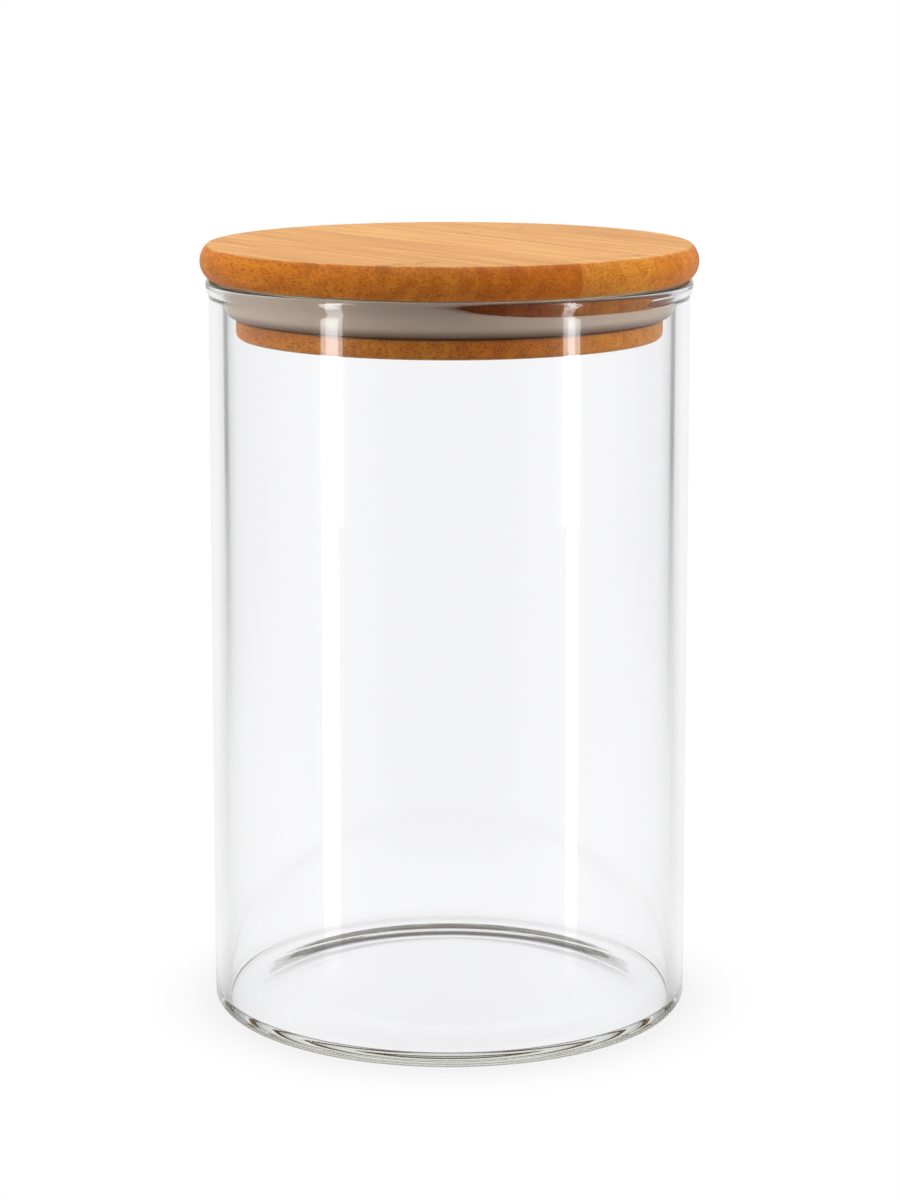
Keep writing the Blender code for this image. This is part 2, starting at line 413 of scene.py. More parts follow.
# %% [markdown]
# ## Materials
#
# Colours are written as sRGB hex values, as a colour picker shows them, and turned to
# linear light for the shader. One function adds any node, with its settings and links.

# %% Material helpers


def linear(hex_colour):
    """Turns an sRGB hex colour into the linear RGBA that shaders use."""
    channels = [int(hex_colour[i : i + 2], 16) / 255 for i in (1, 3, 5)]
    light = [c / 12.92 if c <= 0.04045 else ((c + 0.055) / 1.055) ** 2.4 for c in channels]
    return (*light, 1.0)


def add(tree, kind, inputs=None, stops=None, **settings):
    """Adds a shader node.

    Inputs, by name or number, are values, sockets, or nodes for their first output. The
    stops of a colour ramp are its two ends, and then those between them.
    """
    made = tree.nodes.new("ShaderNode" + kind)
    for key, value in settings.items():
        setattr(made, key, value)
    for key, value in (inputs or {}).items():
        if isinstance(value, bpy.types.Node):
            value = value.outputs[0]
        if isinstance(value, bpy.types.NodeSocket):
            tree.links.new(value, made.inputs[key])
        else:
            made.inputs[key].default_value = value
    for index, (position, colour) in enumerate(stops or []):
        marks = made.color_ramp.elements
        mark = marks[index] if index < 2 else marks.new(position)
        mark.position = position
        mark.color = colour
    return made


def blend(tree, share, under, over, way="MIX"):
    """Lays one colour over another."""
    return add(tree, "Mix", {0: share, 6: under, 7: over}, data_type="RGBA", blend_type=way).outputs[2]


def material(name):
    """A new material, with its node tree and its Principled shader."""
    made = bpy.data.materials.new(name)
    made.use_nodes = True
    return made, made.node_tree, made.node_tree.nodes["Principled BSDF"]


print(f"mid grey, #808080, is {linear('#808080')[0]:.3f} in linear light")

# %% [markdown]
# ### Borosilicate glass
#
# Borosilicate has an index of refraction of 1.47. It is fire-polished, so it is as
# smooth as a liquid. A trace of iron in it turns long light paths grey-green, which
# shows only where one looks along the glass, at the heel and in the rim. A volume
# absorption gives just that.
#
# At a glancing angle the inside of the wall mirrors the dark part of a studio, and this
# draws a fine dark line along each side of a jar. The simple room of this scene doesn't
# draw it, so the material paints it as a painted reflection: a Layer Weight node knows
# how glancing the view is, and a colour ramp turns that into a darker tint. The painted
# line fades down the jar, where the bright floor takes over.

# %% Where the wall gets its painted reflection
GLANCE_TOP = 115 * mm
GLANCE_FOOT = 50 * mm


def painted_reflection_share(tree):
    """Where the painted reflection goes: 1 on the inside of the wall, high up, fading to 0 down the jar,
    and 0 anywhere else.
    """
    place = add(tree, "TexCoord").outputs["Object"]
    flat = add(tree, "VectorMath", {0: place, 1: (1, 1, 0)}, operation="MULTIPLY")
    radius = add(tree, "VectorMath", {0: flat}, operation="LENGTH").outputs["Value"]
    inside = add(tree, "Math", {0: radius, 1: MOUTH_RADIUS + WALL / 2}, operation="LESS_THAN")
    height = add(tree, "SeparateXYZ", {0: place}).outputs["Z"]
    upper = add(tree, "MapRange", {"Value": height, 1: GLANCE_FOOT, 2: GLANCE_TOP, 3: 0.0, 4: 1.0})
    wall = add(tree, "Math", {0: height, 1: RIM_DOME_FOOT - RIM_NECK_HEIGHT}, operation="LESS_THAN")
    share = add(tree, "Math", {0: inside, 1: upper}, operation="MULTIPLY")
    return add(tree, "Math", {0: share, 1: wall}, operation="MULTIPLY")


print(f"tint: grows from {GLANCE_FOOT / mm:.0f} to {GLANCE_TOP / mm:.0f} mm above the floor")

# %% Borosilicate glass
GLASS_IOR = 1.47
CLEAR = "#FDFDFE"
PAINTED_REFLECTION_TINTS = [
    (0.66, CLEAR), (0.87, "#202122"), (0.71, "#F4F4F5"), (0.77, "#D8D8D9"), (0.82, "#484949"),
]
IRON_TINT = "#C9D2BE"
IRON_DENSITY = 5.0

glass, tree, shader = material("fire_polished_borosilicate")
# Painted reflection: the glass is darkened at glancing angles, in place of the dark studio it would mirror.
facing = add(tree, "LayerWeight", {"Blend": 0.5}).outputs["Facing"]
painted_reflection = add(
    tree, "ValToRGB", {0: facing}, stops=[(at, linear(colour)) for at, colour in PAINTED_REFLECTION_TINTS],
)
tint = blend(tree, painted_reflection_share(tree), linear(CLEAR), painted_reflection)
tree.links.new(tint, shader.inputs["Base Color"])
shader.inputs["Roughness"].default_value = 0.0
shader.inputs["IOR"].default_value = GLASS_IOR
shader.inputs["Transmission Weight"].default_value = 1.0
iron = add(tree, "VolumeAbsorption", {"Color": linear(IRON_TINT), "Density": IRON_DENSITY})
tree.links.new(iron.outputs[0], tree.nodes["Material Output"].inputs["Volume"])
glass_body.data.materials.append(glass)
print(f"{glass.name}: {len(tree.nodes)} nodes")

# %% [markdown]
# ### Laminated bamboo
#
# A bamboo board is made of strips split from the culm's wall, about 20 mm wide, planed
# square and glued side by side. The culm's woody bundles run along the strips, so one
# pattern has to show as long streaks on the faces and as dots on the cut edge. A flat
# picture can't do that on a turned edge. A solid pattern can: it fills space, and the
# board's surface cuts through it. So the first step is a set of axes in millimetres
# that lies along the fibres. Each strip is then moved to wood of its own.

# %% Axes along the fibres
FIBRE_TURN = 53.0
STRIP_WIDTH = 20.2
OWN_WOOD = (300, 40, 40)
SWIRL_LENGTH = 90.0
SWIRL_WIDTH = 9.0
SWIRL = 3.2


def fibre_axes(tree, offset, first_strip):
    """Places in the board: plain and in each strip's own bent wood, with the strip's luck."""
    coords = add(tree, "TexCoord")
    plain = add(
        tree, "Mapping",
        {"Vector": coords.outputs["Object"], "Location": offset,
         "Rotation": (0, 0, math.radians(FIBRE_TURN)), "Scale": (1 / mm, 1 / mm, 1 / mm)},
    )
    across = add(tree, "SeparateXYZ", {0: plain}).outputs["Y"]
    strip = add(tree, "Math", {0: across, 1: STRIP_WIDTH}, operation="DIVIDE")
    number = add(tree, "Math", {0: strip}, operation="FLOOR")
    piece = add(tree, "Math", {0: number, 1: first_strip}, operation="ADD")
    luck = add(tree, "TexWhiteNoise", {"W": piece}, noise_dimensions="1D")
    shift = add(tree, "VectorMath", {0: luck.outputs["Color"], 1: OWN_WOOD}, operation="MULTIPLY")
    own = add(tree, "VectorMath", {0: plain, 1: shift}, operation="ADD")
    slow = add(
        tree, "VectorMath", {0: own, 1: (1 / SWIRL_LENGTH, 1 / SWIRL_WIDTH, 1 / SWIRL_WIDTH)},
        operation="MULTIPLY",
    )
    wander = add(tree, "TexNoise", {"Vector": slow, "Scale": 1.0, "Detail": 1.0})
    bend = add(tree, "VectorMath", {0: wander.outputs["Color"], 1: (0, SWIRL, SWIRL)}, operation="MULTIPLY")
    bent = add(tree, "VectorMath", {0: own, 1: bend}, operation="ADD")
    return plain, across, bent, luck.outputs["Value"]


print(f"strips: {STRIP_WIDTH} mm wide, fibres turned by {FIBRE_TURN} degrees")

# %% [markdown]
# The flesh between the bundles is pale. Its tone changes in soft streaks along the
# strip, in fine fibres, and from one strip to the next.

# %% Flesh
FIBRE_LENGTH = 45.0
FIBRE_WIDTH = 0.3
STREAK_WIDTH = 2.2
STREAK_LENGTH = 40.0
STREAK_TONE = 1.25
FIBRE_TONE = 0.5
STRIP_TONE = 0.2
TONE_BASE = -0.48
FLESH_TONES = [(0.25, "#D0904A"), (0.75, "#EBB268"), (0.5, "#E0A058")]


def stretched(tree, place, length, width, detail):
    """Noise that is drawn out along the fibres, with its length and width in millimetres."""
    scaled = add(
        tree, "VectorMath", {0: place, 1: (1 / length, 1 / width, 1 / width)}, operation="MULTIPLY",
    )
    return add(tree, "TexNoise", {"Vector": scaled, "Scale": 1.0, "Detail": detail}).outputs[0]


def flesh_colour(tree, bent, fine, luck):
    """The colour of the flesh, from dark to pale."""
    streak = stretched(tree, bent, STREAK_LENGTH, STREAK_WIDTH, detail=4.0)
    tone = add(tree, "Math", {0: fine, 1: FIBRE_TONE, 2: TONE_BASE}, operation="MULTIPLY_ADD")
    tone = add(tree, "Math", {0: streak, 1: STREAK_TONE, 2: tone}, operation="MULTIPLY_ADD")
    tone = add(tree, "Math", {0: luck, 1: STRIP_TONE, 2: tone}, operation="MULTIPLY_ADD")
    flesh = add(tree, "ValToRGB", {0: tone}, stops=[(at, linear(tint)) for at, tint in FLESH_TONES])
    return flesh.outputs["Color"]


print(f"flesh: fibres {FIBRE_WIDTH} mm wide, streaks {STREAK_WIDTH} mm wide")

# %% [markdown]
# The bundles are dark cords about 0.4 mm thick and 0.5 mm apart, which is just coarse
# enough to show in the render. Cut across on the board's edge they are dots, some
# darker than others. A cord is never quite straight, so where the cut runs along it, it
# dips in and out, and leaves short dashes. Voronoi cells, drawn out along the fibres,
# give both. The bundle's edge and core are distances in such a cell.

# %% Bundles
BUNDLE_SPACING = 0.5
BUNDLE_LENGTH = 1.5
BUNDLE_DISORDER = 0.85
BUNDLE_EDGE = 0.6
BUNDLE_CORE = 0.3
PALEST_BUNDLE = 0.25


def bundle_marks(tree, bent):
    """1 in the middle of a dark bundle, less in a pale one, and 0 in the flesh."""
    section = add(
        tree, "VectorMath",
        {0: bent, 1: (1 / BUNDLE_LENGTH, 1 / BUNDLE_SPACING, 1 / BUNDLE_SPACING)}, operation="MULTIPLY",
    )
    cells = add(tree, "TexVoronoi", {"Vector": section, "Scale": 1.0, "Randomness": BUNDLE_DISORDER})
    inside = add(
        tree, "MapRange",
        {"Value": cells.outputs["Distance"], 1: BUNDLE_EDGE, 2: BUNDLE_CORE, 3: 0.0, 4: 1.0},
        interpolation_type="SMOOTHSTEP",
    )
    own = add(tree, "SeparateXYZ", {0: cells.outputs["Color"]}).outputs["X"]
    depth = add(tree, "Math", {0: own, 1: 1 - PALEST_BUNDLE, 2: PALEST_BUNDLE}, operation="MULTIPLY_ADD")
    return add(tree, "Math", {0: inside, 1: depth}, operation="MULTIPLY").outputs[0]


print(f"bundles: {BUNDLE_SPACING} mm apart, dashes {BUNDLE_LENGTH} mm long")

# %% [markdown]
# The cut edge drinks more oil than the planed faces, so it is deeper in colour. How
# far a spot is on the edge shows in its normal: upright on the faces, level on the edge.

# %% Oil in the cut edge
UPRIGHT_ON_FACE = 0.97
UPRIGHT_ON_EDGE = 0.6


def cut_share(tree):
    """0 on the planed faces and 1 on the turned edge."""
    facing = add(tree, "SeparateXYZ", {0: add(tree, "TexCoord").outputs["Normal"]}).outputs["Z"]
    upright = add(tree, "Math", {0: facing}, operation="ABSOLUTE")
    return add(
        tree, "MapRange", {"Value": upright, 1: UPRIGHT_ON_FACE, 2: UPRIGHT_ON_EDGE, 3: 0.0, 4: 1.0},
        interpolation_type="SMOOTHSTEP",
    ).outputs[0]


print(f"the edge starts where the surface leans {math.degrees(math.acos(UPRIGHT_ON_FACE)):.0f} degrees")

# %% [markdown]
# Low down, a culm has a joint every 165 mm or so, where the fibres are tangled. They
# show as soft brown smudges across a strip, broken up here by cloudy noise. Between the
# strips a thread of glue is darker.

# %% Joints and glue
JOINT_SPACING = 165.0
JOINT_WIDTH = 3.5
JOINT_DEPTH = 0.4
CLOUD_SCALE = 0.35
CLOUD_FROM = 0.45
CLOUD_TO = 0.62
GLUE_WIDTH = 0.16
GLUE_DEPTH = 0.22


def joint_share(tree, plain, bent):
    """How brown a spot is from a joint of the culm."""
    place = add(tree, "SeparateXYZ", {0: bent})
    apart = add(tree, "Math", {0: place.outputs["X"], 1: JOINT_SPACING / 2}, operation="PINGPONG")
    near = add(
        tree, "MapRange", {"Value": apart, 1: JOINT_WIDTH, 2: 0.0, 3: 0.0, 4: 1.0},
        interpolation_type="SMOOTHSTEP",
    )
    cloud = add(tree, "TexNoise", {"Vector": plain, "Scale": CLOUD_SCALE, "Detail": 2.0})
    patch = add(
        tree, "MapRange", {"Value": cloud, 1: CLOUD_FROM, 2: CLOUD_TO, 3: 0.0, 4: JOINT_DEPTH},
        interpolation_type="SMOOTHSTEP",
    )
    return add(tree, "Math", {0: near, 1: patch}, operation="MULTIPLY").outputs[0]


def glue_share(tree, across):
    """How much of a spot is the glue line between two strips."""
    apart = add(tree, "Math", {0: across, 1: STRIP_WIDTH / 2}, operation="PINGPONG")
    return add(
        tree, "MapRange", {"Value": apart, 1: GLUE_WIDTH, 2: 0.0, 3: 0.0, 4: GLUE_DEPTH},
        interpolation_type="SMOOTHSTEP",
    ).outputs[0]


print(f"joints: {JOINT_SPACING} mm apart, glue lines: {2 * GLUE_WIDTH} mm wide")

# %% [markdown]
# The boards are sanded and oiled, which leaves a satin that is a little uneven, as the
# fibres stand a few hundredths of a millimetre proud of the flesh. Oiled wood has an
# index of about 1.5. Its open pores take more than half of what it would mirror: the
# specular level is 0.2, where a closed surface has 0.5.

# %% Oiled bamboo
BAMBOO_IOR = 1.5
BAMBOO_SPECULAR = 0.2
BUNDLE_BROWN = "#6E3208"
JOINT_BROWN = "#9A5A20"
GLUE_BROWN = "#7A4310"
BUNDLE_ON_FACE = 0.12
BUNDLE_MORE_ON_CUT = 0.36
SATIN = 0.42
SATIN_RANGE = 0.2
FIBRE_RELIEF = 0.35
FIBRE_HEIGHT = 0.03 * mm


def bamboo(name, offset, first_strip, oils):
    """Oiled bamboo board. Offset, in millimetres, and first strip make each board's wood its own."""
    made, tree, shader = material(name)
    plain, across, bent, luck = fibre_axes(tree, offset, first_strip)
    fine = stretched(tree, bent, FIBRE_LENGTH, FIBRE_WIDTH, detail=3.0)
    marks = bundle_marks(tree, bent)
    cut = cut_share(tree)
    colour = flesh_colour(tree, bent, fine, luck)
    oil = blend(tree, luck, linear(oils[0]), linear(oils[1]))
    colour = blend(tree, cut, colour, oil, "MULTIPLY")
    depth = add(tree, "Math", {0: cut, 1: BUNDLE_MORE_ON_CUT, 2: BUNDLE_ON_FACE}, operation="MULTIPLY_ADD")
    dark = add(tree, "Math", {0: marks, 1: depth}, operation="MULTIPLY")
    colour = blend(tree, dark, colour, linear(BUNDLE_BROWN))
    colour = blend(tree, joint_share(tree, plain, bent), colour, linear(JOINT_BROWN))
    colour = blend(tree, glue_share(tree, across), colour, linear(GLUE_BROWN))
    tree.links.new(colour, shader.inputs["Base Color"])

    satin = add(tree, "Math", {0: fine, 1: SATIN_RANGE, 2: SATIN}, operation="MULTIPLY_ADD")
    tree.links.new(satin.outputs[0], shader.inputs["Roughness"])
    relief = add(tree, "Math", {0: fine, 1: marks}, operation="SUBTRACT")
    bump = add(tree, "Bump", {"Height": relief, "Strength": FIBRE_RELIEF, "Distance": FIBRE_HEIGHT})
    tree.links.new(bump.outputs[0], shader.inputs["Normal"])
    shader.inputs["IOR"].default_value = BAMBOO_IOR
    shader.inputs["Specular IOR Level"].default_value = BAMBOO_SPECULAR
    print(f"{name}: {len(tree.nodes)} nodes")
    return made


# %% Dress the boards
DISC_OILS = ("#E0A638", "#EED080")
PLUG_OILS = ("#FFC432", "#FFE060")
DISC_OFFSET = (12.0, 6.3, 0.0)
PLUG_OFFSET = (91.0, 6.5, 30.0)
DISC_FIRST_STRIP = 2178
PLUG_FIRST_STRIP = 2390

disc_wood = bamboo("oiled_bamboo_disc", DISC_OFFSET, DISC_FIRST_STRIP, DISC_OILS)
lid_board.data.materials.append(disc_wood)
plug_wood = bamboo("oiled_bamboo_plug", PLUG_OFFSET, PLUG_FIRST_STRIP, PLUG_OILS)
plug_board.data.materials.append(plug_wood)

# %% [markdown]
# ### Translucent silicone
#
# The seal is moulded from undyed silicone rubber, index 1.41. It is milky rather than
# clear: light goes in, scatters and comes out warm. A mould leaves it satin. Where its
# foot lies close on the plug's flange, the colour is painted browner over the lowest
# 2.4 mm: painted shade for the contact shadow there.

# %% Silicone
SILICONE_IOR = 1.41
SILICONE_SATIN = 0.42
SILICONE_CLEARNESS = 0.25
MILK = "#F6DFC9"
PAINTED_FOOT_SHADE = "#9A765C"
FOOT_SHADE_TOP = SEAL_BOTTOM + 2.4 * mm

silicone, tree, shader = material("moulded_translucent_silicone")
height = add(tree, "SeparateXYZ", {0: add(tree, "TexCoord").outputs["Object"]}).outputs["Z"]
# Painted shade: the seal darkens towards its foot, where it sits on the plug's flange.
foot = add(
    tree, "MapRange", {"Value": height, 1: FOOT_SHADE_TOP, 2: SEAL_BOTTOM, 3: 0.0, 4: 1.0},
    interpolation_type="SMOOTHSTEP",
)
milk_and_painted_shade = blend(tree, foot, linear(MILK), linear(PAINTED_FOOT_SHADE))
tree.links.new(milk_and_painted_shade, shader.inputs["Base Color"])
shader.inputs["Roughness"].default_value = SILICONE_SATIN
shader.inputs["IOR"].default_value = SILICONE_IOR
shader.inputs["Transmission Weight"].default_value = SILICONE_CLEARNESS
seal.data.materials.append(silicone)
print(f"{silicone.name}: {len(tree.nodes)} nodes")

# %% [markdown]
# ## The camera
#
# The photograph was taken with a long lens from a little above the lid, about 0.67 m
# away. The lens is shifted down, as on a view camera, which keeps the jar's sides
# nearly parallel.

# %% Camera
FRAME_LONG_SIDE = 1200
FRAME_CENTRE_X = 450
AXIS_PIXEL_X = 449.4
FOCAL_PIXELS = 3223.0
CAMERA_DISTANCE = 0.6675
CAMERA_HEIGHT = 0.2226
CAMERA_PITCH = 8.415
LENS_SHIFT = -0.15

camera_data = bpy.data.cameras.new("camera")
camera = bpy.data.objects.new("camera", camera_data)
bpy.context.scene.collection.objects.link(camera)
camera.location = (0.0, -CAMERA_DISTANCE, CAMERA_HEIGHT)
camera.rotation_euler = (math.radians(90 - CAMERA_PITCH), 0.0, 0.0)
camera_data.lens = FOCAL_PIXELS / FRAME_LONG_SIDE * camera_data.sensor_width
camera_data.shift_x = (FRAME_CENTRE_X - AXIS_PIXEL_X) / FRAME_LONG_SIDE
camera_data.shift_y = LENS_SHIFT
bpy.context.scene.camera = camera
print(f"camera: {camera_data.lens:.0f} mm lens, {CAMERA_DISTANCE} m in front, {CAMERA_HEIGHT} m up")

# %% [markdown]
# ## The studio
#
# Glass has no colour of its own, so what it shows is its surroundings. Wherever the
# camera looks, past the jar or straight through it, floor and air are white. What the
# glass mirrors is a room that is white behind the jar and dark behind the camera, and
# this draws the fine dark lines of its rim, heel and base.
#
# The floor starts as one large square. It lies a hair below the jar, so that the two
# surfaces never fight for the same place. A reflection on the outside of a piece skips
# it and sees the air below the horizon, which is given the same brightness further on.

# %% Floor
FLOOR_HALF_SIDE = 20.0
FLOOR_DROP = 0.02 * mm

floor_mesh = bpy.data.meshes.new("floor")
work = bmesh.new()
bmesh.ops.create_grid(work, x_segments=1, y_segments=1, size=FLOOR_HALF_SIDE)
work.to_mesh(floor_mesh)
work.free()
floor = bpy.data.objects.new("floor", floor_mesh)
bpy.context.scene.collection.objects.link(floor)
floor.location.z = -FLOOR_DROP
floor.visible_glossy = False
print("floor:", len(floor_mesh.polygons), "face")

# %% [markdown]
# A Light Path node says how a surface is being looked at. Two shares are made from it.
# One tells what the camera sees from the light that falls on things. The other tells
# what is seen straight on from what was mirrored on the way, also inside the glass.

# %% Shares of the light paths
NO_BOUNCE = 0.5


def seen_share(tree):
    """1 for what the camera sees, past the glass, through it or in it, and 0 for light on things."""
    path = add(tree, "LightPath").outputs
    glass_ray = add(
        tree, "Math", {0: path["Is Glossy Ray"], 1: path["Is Transmission Ray"]}, operation="MAXIMUM",
    )
    seen = add(tree, "Math", {0: path["Is Camera Ray"], 1: glass_ray}, operation="MAXIMUM")
    first = add(tree, "Math", {0: path["Diffuse Depth"], 1: NO_BOUNCE}, operation="LESS_THAN")
    return add(tree, "Math", {0: seen, 1: first}, operation="MULTIPLY").outputs[0]


def direct_share(tree):
    """0 for light that was mirrored on its way, also inside the glass, and 1 otherwise."""
    mirrored = add(tree, "LightPath").outputs["Glossy Depth"]
    return add(tree, "Math", {0: mirrored, 1: NO_BOUNCE}, operation="LESS_THAN").outputs[0]


# %% [markdown]
# The mirrored room gets its greys from the direction alone, from the dark behind the
# camera to the white behind the jar. They are set to the tones of the lines in the base.

# %% Brightness of the room
ROOM_GREYS = [(0.05, 0.03), (0.93, 0.86), (0.19, 0.3), (0.8, 0.42)]


def room_level(tree, direction):
    """How bright the studio is in a direction: white straight on, and the room's grey if mirrored."""
    onward = add(tree, "SeparateXYZ", {0: direction}).outputs["Y"]
    turned = add(tree, "Math", {0: onward, 1: 0.5, 2: 0.5}, operation="MULTIPLY_ADD")
    greys = [(at, (grey, grey, grey, 1.0)) for at, grey in ROOM_GREYS]
    room = add(tree, "ValToRGB", {0: turned}, stops=greys)
    return add(tree, "Math", {0: room, 1: direct_share(tree)}, operation="MAXIMUM").outputs[0]


print(f"room: from {ROOM_GREYS[0][1]} behind the camera to {ROOM_GREYS[1][1]} behind the jar")

# %% [markdown]
# Beside the jar the floor is plain white, with a soft shadow within 18 mm of the glass.
# The material draws that shadow, because the glass here casts none.

# %% Floor beside the jar
SHADOW_REACH = 18 * mm
SHADOW_DEPTH = 0.11
SHADOW_FALL = 2.0


def open_floor(tree, away):
    """How bright the floor is beside the jar, from the distance to the jar's axis."""
    near = add(
        tree, "MapRange", {"Value": away, 1: BODY_RADIUS, 2: BODY_RADIUS + SHADOW_REACH, 3: 1.0, 4: 0.0},
    )
    soft = add(tree, "Math", {0: near, 1: SHADOW_FALL}, operation="POWER")
    return add(tree, "Math", {0: soft, 1: -SHADOW_DEPTH, 2: 1.0}, operation="MULTIPLY_ADD")


print(f"contact shadow: {SHADOW_DEPTH:.0%} deep, {SHADOW_REACH / mm:.0f} mm wide")

# %% [markdown]
# Through the glass the floor is white, and where the glass mirrors it, it has the grey
# of the room in that direction. Only a patch just behind the jar stays nearly white. The
# inside of the wall mirrors that patch towards the camera, and a darker one would draw
# an arch in the empty jar.

# %% Floor through the glass
SEEN_FLOOR = 0.83
FLOOR_LIFT = 0.23
PATCH_LEVEL = 0.85
PATCH_NEAR = 0.1
PATCH_FAR = 0.45
PATCH_SIDE = -0.2
PATCH_BEHIND = 0.4


def glass_floor(tree, place, away):
    """How bright the floor is through the glass, from the place on it and the distance to the axis."""
    towards = add(tree, "VectorMath", {0: place}, operation="NORMALIZE")
    onward = add(tree, "SeparateXYZ", {0: towards}).outputs["Y"]
    behind = add(tree, "MapRange", {"Value": onward, 1: PATCH_SIDE, 2: PATCH_BEHIND, 3: 0.0, 4: 1.0})
    close = add(tree, "MapRange", {"Value": away, 1: PATCH_NEAR, 2: PATCH_FAR, 3: 1.0, 4: 0.0})
    patch = add(tree, "Math", {0: close, 1: behind}, operation="MULTIPLY")
    patch_grey = (PATCH_LEVEL, PATCH_LEVEL, PATCH_LEVEL, 1.0)
    level = blend(tree, patch, room_level(tree, towards), patch_grey)
    level = add(tree, "Math", {0: level, 1: direct_share(tree)}, operation="MAXIMUM")
    return add(tree, "Math", {0: level, 1: SEEN_FLOOR, 2: FLOOR_LIFT}, operation="MULTIPLY_ADD")


print(f"floor straight through the glass: {SEEN_FLOOR + FLOOR_LIFT:.2f}")

# %% [markdown]
# The paint puts the two together. What is seen of the floor comes from its glow alone,
# so it is an even white, with no patch of lamplight in any view. For the light on
# things, it is a matt sheet that throws half of what it gets back up at the jar.

# %% Floor paint
FLOOR_ALBEDO = 0.5
FLOOR_ROUGHNESS = 0.9

floor_paint, tree, shader = material("white_sweep")
shader.inputs["Roughness"].default_value = FLOOR_ROUGHNESS
shader.inputs["Specular IOR Level"].default_value = 0.0
seen = seen_share(tree)
albedo = add(tree, "MapRange", {"Value": seen, 1: 0.0, 2: 1.0, 3: FLOOR_ALBEDO, 4: 0.0})
tree.links.new(albedo.outputs[0], shader.inputs["Base Color"])
place = add(tree, "TexCoord").outputs["Object"]
away = add(tree, "VectorMath", {0: place}, operation="LENGTH").outputs["Value"]
beside = add(tree, "LightPath").outputs["Is Camera Ray"]
lit = blend(tree, beside, glass_floor(tree, place, away), open_floor(tree, away))
glow = add(tree, "Math", {0: lit, 1: seen}, operation="MULTIPLY")
shader.inputs["Emission Color"].default_value = linear("#FFFFFF")
tree.links.new(glow.outputs[0], shader.inputs["Emission Strength"])
floor_mesh.materials.append(floor_paint)
print(f"{floor_paint.name}: {len(tree.nodes)} nodes")

# %% [markdown]
# ### Softboxes
#
# A tall softbox stands on each side of the camera, for the long highlights on the glass.
# Each is a glowing panel that shows only in glass and gloss. It is bright in the middle
# and fades towards its sides and its foot, as a real diffuser does, which an area lamp
# can't. It adds no other light: the wood and the seal are lit by the lamps and the air.

# %% Panels
def panel(name, width, height, glow):
    """An upright rectangle, centred on its object's origin and facing its own -Y side."""
    mesh = bpy.data.meshes.new(name)
    work = bmesh.new()
    corners = [(-1, -1), (1, -1), (1, 1), (-1, 1)]
    work.faces.new([work.verts.new((x * width / 2, 0.0, z * height / 2)) for x, z in corners])
    work.to_mesh(mesh)
    work.free()
    mesh.materials.append(glow)
    made = bpy.data.objects.new(name, mesh)
    bpy.context.scene.collection.objects.link(made)
    return made


def put_round(thing, azimuth, distance, height):
    """Stands a thing round the jar, azimuth degrees from the camera's side, facing the jar."""
    turn_by = math.radians(azimuth)
    thing.location = (distance * math.sin(turn_by), -distance * math.cos(turn_by), height)
    thing.rotation_euler.z = turn_by


# %% [markdown]
# A panel's glow has a core with a short fade at its two sides, and a faint halo beyond
# them. Upwards it grows in two steps, a quick one at the foot and a slow one above. The
# far wall of the jar would mirror the panels once more, so their light is left out
# where it has passed more than the near wall.

# %% Softboxes
SOFTBOX_BOTTOM = -0.19
SOFTBOX_HEIGHT = 1.0
SOFTBOX_GLOW = 8.0
HALO_GLOW = 0.5
CORE_FADE = 0.04
FOOT_FADE = 0.05
FOOT_GLOW = 0.4
RISE_FROM = 0.03
RISE_TO = 0.24
RISE_GLOW = 0.6
NEAR_WALL = 2.5


def softbox(side, azimuth, distance, core, halo):
    """The panel that the glass mirrors: a bright core in a faint halo."""
    glow, tree, shader = material(side + "_diffuser")
    tree.nodes.remove(shader)
    place = add(tree, "SeparateXYZ", {0: add(tree, "TexCoord").outputs["Object"]}).outputs
    aside = add(tree, "Math", {0: place["X"]}, operation="ABSOLUTE")
    outside, inside = core * (0.5 + CORE_FADE), core * (0.5 - CORE_FADE)
    inner = add(
        tree, "MapRange", {"Value": aside, 1: outside, 2: inside, 3: 0.0, 4: SOFTBOX_GLOW},
        interpolation_type="SMOOTHSTEP",
    )
    outer = add(
        tree, "MapRange", {"Value": aside, 1: halo / 2, 2: core / 2, 3: 0.0, 4: HALO_GLOW},
        interpolation_type="SMOOTHSTEP",
    )
    across = add(tree, "Math", {0: inner, 1: outer}, operation="MAXIMUM")
    low = -SOFTBOX_HEIGHT / 2
    foot = add(
        tree, "MapRange", {"Value": place["Z"], 1: low, 2: low + FOOT_FADE, 3: 0.0, 4: FOOT_GLOW},
        interpolation_type="SMOOTHSTEP",
    )
    rise = add(
        tree, "MapRange", {"Value": place["Z"], 1: low + RISE_FROM, 2: low + RISE_TO, 3: 0.0, 4: RISE_GLOW},
    )
    upward = add(tree, "Math", {0: foot, 1: rise}, operation="ADD")
    depth = add(tree, "LightPath").outputs["Transmission Depth"]
    near_wall = add(tree, "Math", {0: depth, 1: NEAR_WALL}, operation="LESS_THAN")
    shown = add(tree, "Math", {0: across, 1: near_wall}, operation="MULTIPLY")
    strength = add(tree, "Math", {0: shown, 1: upward}, operation="MULTIPLY")
    lit = add(tree, "Emission", {"Color": linear("#FFFFFF"), "Strength": strength})
    added = add(tree, "AddShader", {0: lit, 1: add(tree, "BsdfTransparent")})
    tree.links.new(added.outputs[0], tree.nodes["Material Output"].inputs["Surface"])
    glow.cycles.emission_sampling = "NONE"

    face = panel(side + "_softbox", halo, SOFTBOX_HEIGHT, glow)
    put_round(face, azimuth, distance, SOFTBOX_BOTTOM + SOFTBOX_HEIGHT / 2)
    face.visible_camera = False
    face.visible_diffuse = False
    face.visible_shadow = False
    print(f"{face.name}: a core {core} m wide, {distance} m from the jar")


